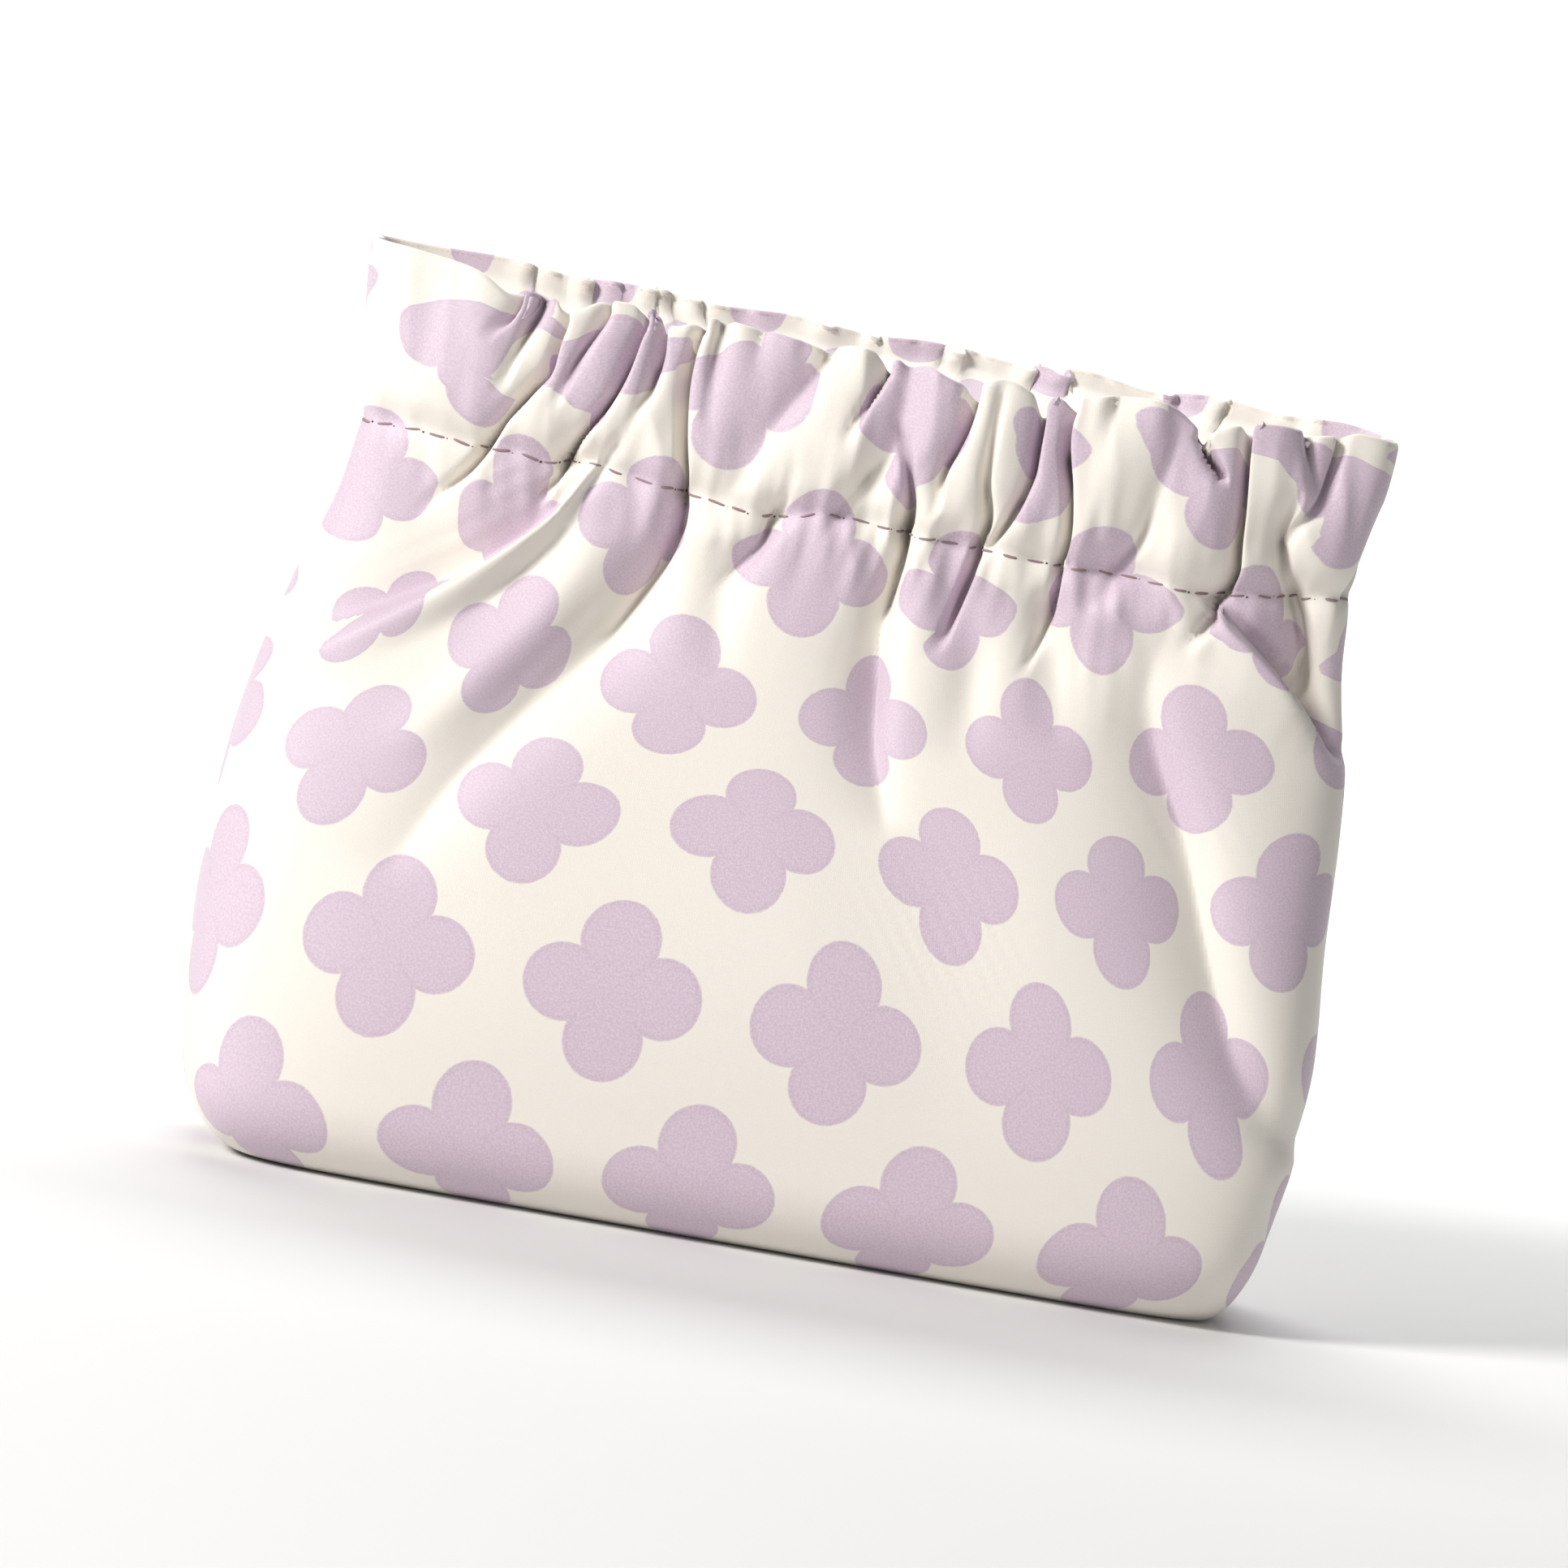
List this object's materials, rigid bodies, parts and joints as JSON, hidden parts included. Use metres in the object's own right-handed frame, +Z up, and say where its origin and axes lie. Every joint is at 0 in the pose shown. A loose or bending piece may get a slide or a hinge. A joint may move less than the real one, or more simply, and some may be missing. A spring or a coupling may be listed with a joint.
{
  "type": "makeup pouch",
  "caption": "Small gathered cloth makeup pouch with a boxed base and a squeeze-open mouth held shut by springs hidden in its casing.",
  "frame": {"origin": "middle of the pouch's outline at the floor, in the plane of the flat base", "axes": "+Z up, the front panel faces -Y, +X to the right as seen from the front"},
  "size_m": [0.138, 0.0422, 0.111],
  "materials": {
    "printed_cloth": "satin-faced cream polyester with a fine grain, printed with pale lavender quatrefoils",
    "spring_steel": "plain bright spring strip, hidden in the casing"
  },
  "bodies": {
    "root": {"front_panel": "printed_cloth", "back_panel": "printed_cloth", "front_spring": "spring_steel", "back_spring": "spring_steel"}
  },
  "joints": []
}
